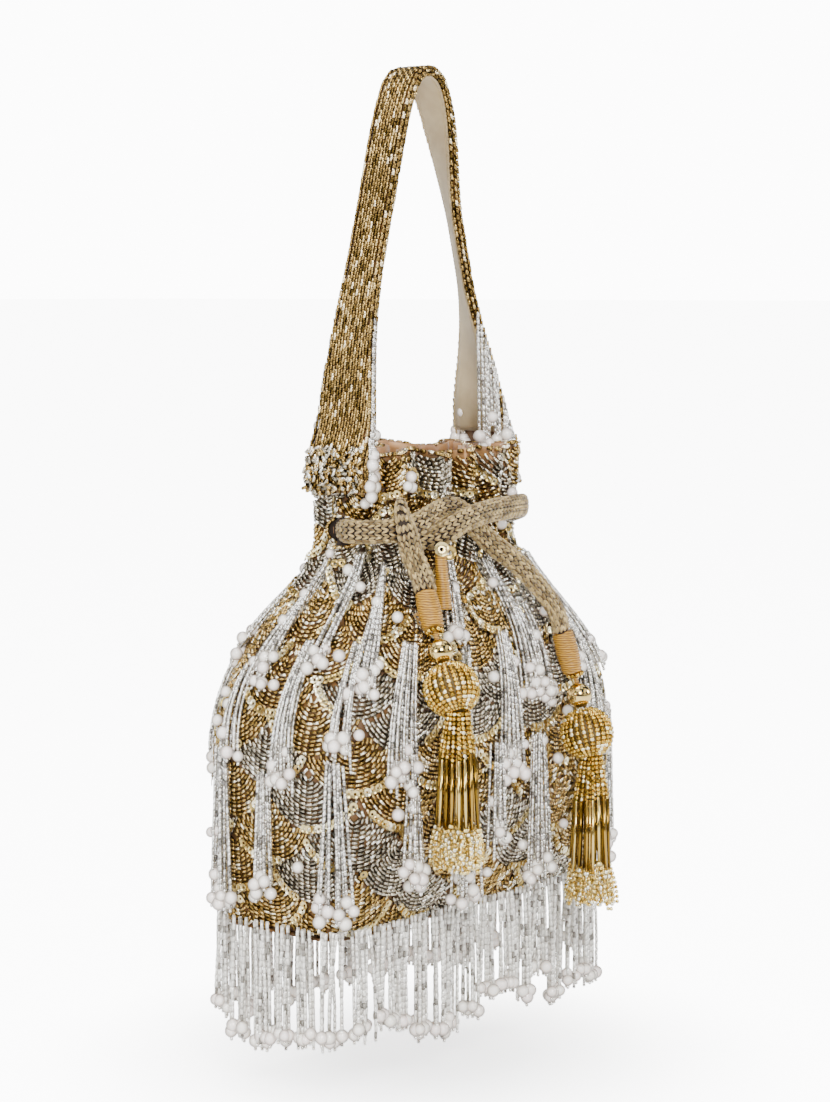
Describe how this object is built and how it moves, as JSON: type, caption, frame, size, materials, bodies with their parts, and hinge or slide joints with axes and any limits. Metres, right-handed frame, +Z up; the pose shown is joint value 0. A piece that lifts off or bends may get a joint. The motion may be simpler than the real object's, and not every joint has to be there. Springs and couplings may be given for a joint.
{
  "type": "potli bag",
  "caption": "Gathered drawstring evening pouch on a boxed base, with a strap handle, a knotted drawcord that ends in two swinging tassels, and hanging bead fringe.",
  "frame": {"origin": "underside of the handle at its top, where a hand or a hook holds the bag", "axes": "+Z up along the hanging bag; the wide front faces -Y, the handle's two ends are at -X and +X"},
  "size_m": [0.1826, 0.1248, 0.3839],
  "materials": {
    "beadwork": "satin embroidered with gold and silver glass beads",
    "board": "matt",
    "satin": "satin",
    "strap_beadwork": "covered in gold-lined glass beads",
    "strap_satin": "satin",
    "knitted_cord": "metallic knit",
    "tan_thread": "wound thread",
    "polished_gold": "polished",
    "seed_beads": "gold-lined",
    "bugle_beads": "gold-lined",
    "silver_fringe": "silver-lined clear, with ivory pearls"
  },
  "bodies": {
    "bag": {"outer_pouch": "beadwork", "base_panel": "beadwork", "base_board": "board", "lining": "satin", "handle_strap": "strap_beadwork", "handle_lining": "strap_satin", "drawcord_left": "knitted_cord", "drawcord_right": "knitted_cord", "drawcord_casing_run": "knitted_cord", "thread_wrap_left": "tan_thread", "bead_ring_left": "seed_beads", "thread_wrap_right": "tan_thread", "bead_ring_right": "seed_beads", "fringe_neck_1": "silver_fringe", "fringe_neck_2": "silver_fringe", "fringe_neck_3": "silver_fringe", "fringe_neck_4": "silver_fringe", "fringe_neck_5": "silver_fringe", "fringe_neck_6": "silver_fringe", "fringe_neck_7": "silver_fringe", "fringe_shoulder_1": "silver_fringe", "fringe_shoulder_2": "silver_fringe", "fringe_shoulder_3": "silver_fringe", "fringe_shoulder_4": "silver_fringe", "fringe_shoulder_5": "silver_fringe", "fringe_shoulder_6": "silver_fringe", "fringe_shoulder_7": "silver_fringe", "fringe_shoulder_8": "silver_fringe", "fringe_belly_1": "silver_fringe", "fringe_belly_2": "silver_fringe", "fringe_belly_3": "silver_fringe", "fringe_belly_4": "silver_fringe", "fringe_belly_5": "silver_fringe", "fringe_belly_6": "silver_fringe", "fringe_belly_7": "silver_fringe", "fringe_belly_8": "silver_fringe", "fringe_base_1": "silver_fringe", "fringe_base_2": "silver_fringe", "fringe_base_3": "silver_fringe", "fringe_base_4": "silver_fringe", "fringe_base_5": "silver_fringe", "fringe_base_6": "silver_fringe", "fringe_base_7": "silver_fringe", "fringe_base_8": "silver_fringe", "fringe_base_9": "silver_fringe", "fringe_base_10": "silver_fringe", "fringe_handle_left_front": "silver_fringe", "fringe_handle_left_back": "silver_fringe", "fringe_handle_right_front": "silver_fringe", "fringe_handle_right_back": "silver_fringe"},
    "tassel_left": {"metal_bead_left": "polished_gold", "tassel_head_left": "seed_beads", "tassel_bugles_left": "bugle_beads", "tassel_loops_left": "seed_beads"},
    "tassel_right": {"metal_bead_right": "polished_gold", "tassel_head_right": "seed_beads", "tassel_bugles_right": "bugle_beads", "tassel_loops_right": "seed_beads"}
  },
  "joints": [
    {"name": "tassel_left_swing", "type": "hinge", "parent": "bag", "child": "tassel_left", "pos_m": [-0.04107, -0.04421, -0.21182], "axis": [-1, 0, 0], "range_deg": [0, 60]},
    {"name": "tassel_right_swing", "type": "hinge", "parent": "bag", "child": "tassel_right", "pos_m": [0.03495, -0.05391, -0.23561], "axis": [-1, 0, 0], "range_deg": [0, 60]}
  ]
}
